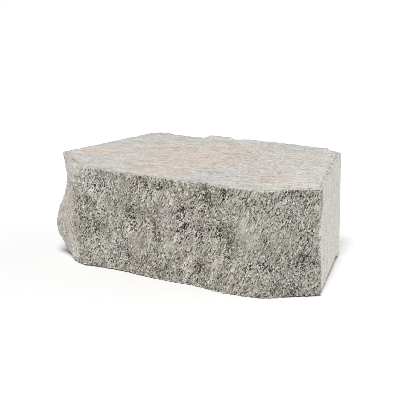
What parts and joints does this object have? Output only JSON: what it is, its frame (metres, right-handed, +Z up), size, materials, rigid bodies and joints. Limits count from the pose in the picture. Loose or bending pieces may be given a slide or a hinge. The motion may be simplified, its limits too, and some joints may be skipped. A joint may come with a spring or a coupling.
{
  "type": "retaining wall block",
  "caption": "Tapered concrete retaining wall block with a rough bevelled split face, a flat moulded top and bed, and a rear lip that keys it behind the course below.",
  "frame": {"origin": "middle of the bounding box, on the floor", "axes": "+X across the split face, to the right as seen from the front; +Y to the back; +Z up"},
  "size_m": [0.295, 0.2042, 0.1087],
  "materials": {
    "concrete": "matt grey dry-cast concrete, coarse where split and fine where moulded"
  },
  "bodies": {
    "root": {"wall_block": "concrete"}
  },
  "joints": []
}
